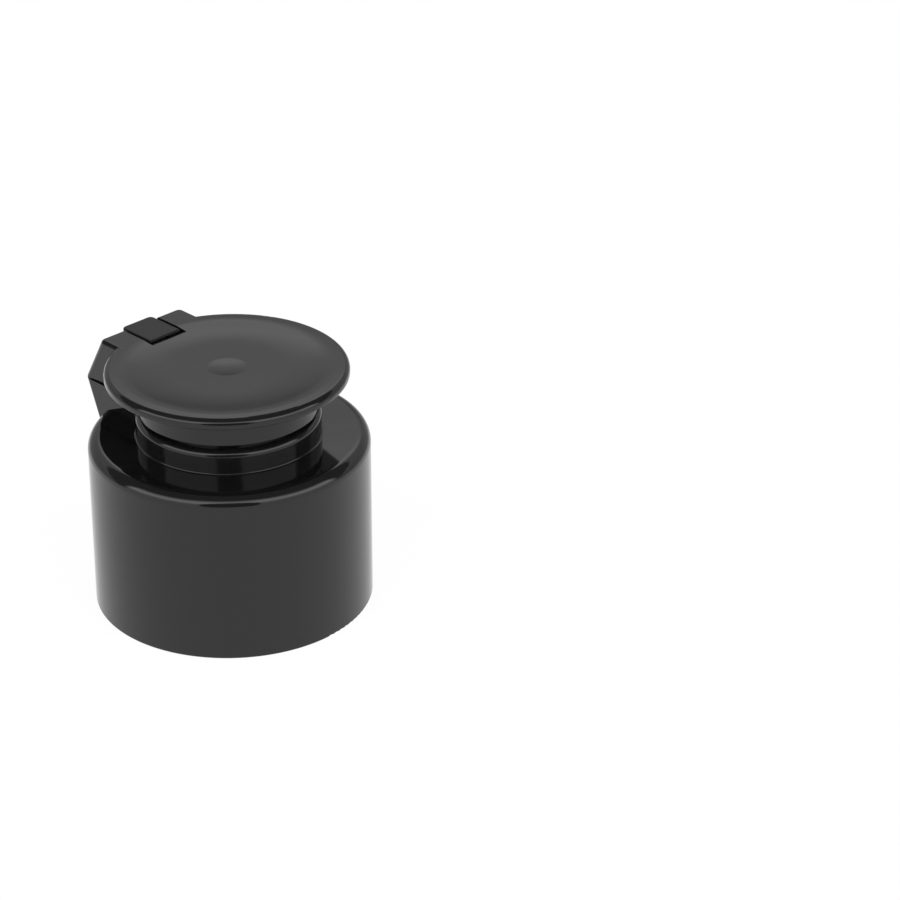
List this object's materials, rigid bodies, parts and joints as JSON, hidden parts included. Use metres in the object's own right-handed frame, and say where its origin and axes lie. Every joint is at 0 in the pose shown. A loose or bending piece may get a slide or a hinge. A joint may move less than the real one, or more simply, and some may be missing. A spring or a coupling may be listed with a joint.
{
  "type": "flip-top tube cap",
  "caption": "Round screw-on dispensing closure with a mushroom-shaped flip lid on a snap hinge, closed, standing on its open mouth.",
  "frame": {"origin": "centre of the mouth, in the plane of the rim that the cap stands on", "axes": "+Z along the neck axis from the mouth up to the lid, +Y from the axis out over the hinge, +X completes the frame"},
  "size_m": [0.0274, 0.0294, 0.0247],
  "materials": {
    "body_gloss_black": "gloss, as moulded",
    "lid_gloss_black": "gloss, as moulded",
    "strap_satin_black": "satin, as moulded"
  },
  "bodies": {
    "cap_body": {"cap_body": "body_gloss_black"},
    "flip_lid": {"flip_lid": "lid_gloss_black"},
    "snap_strap": {"snap_strap": "strap_satin_black"}
  },
  "joints": [
    {"name": "lid_hinge", "type": "hinge", "parent": "cap_body", "child": "flip_lid", "pos_m": [0, 0.01545, 0.01985], "axis": [-1, 0, 0], "range_deg": [0, 180]},
    {"name": "strap_hinge", "type": "hinge", "parent": "cap_body", "child": "snap_strap", "pos_m": [0, 0.01346, 0.0169], "axis": [-1, 0, 0], "range_deg": [0, 134]}
  ],
  "couplings": [
    {"joint": "strap_hinge", "follows": "lid_hinge", "ratio": 0.733}
  ]
}
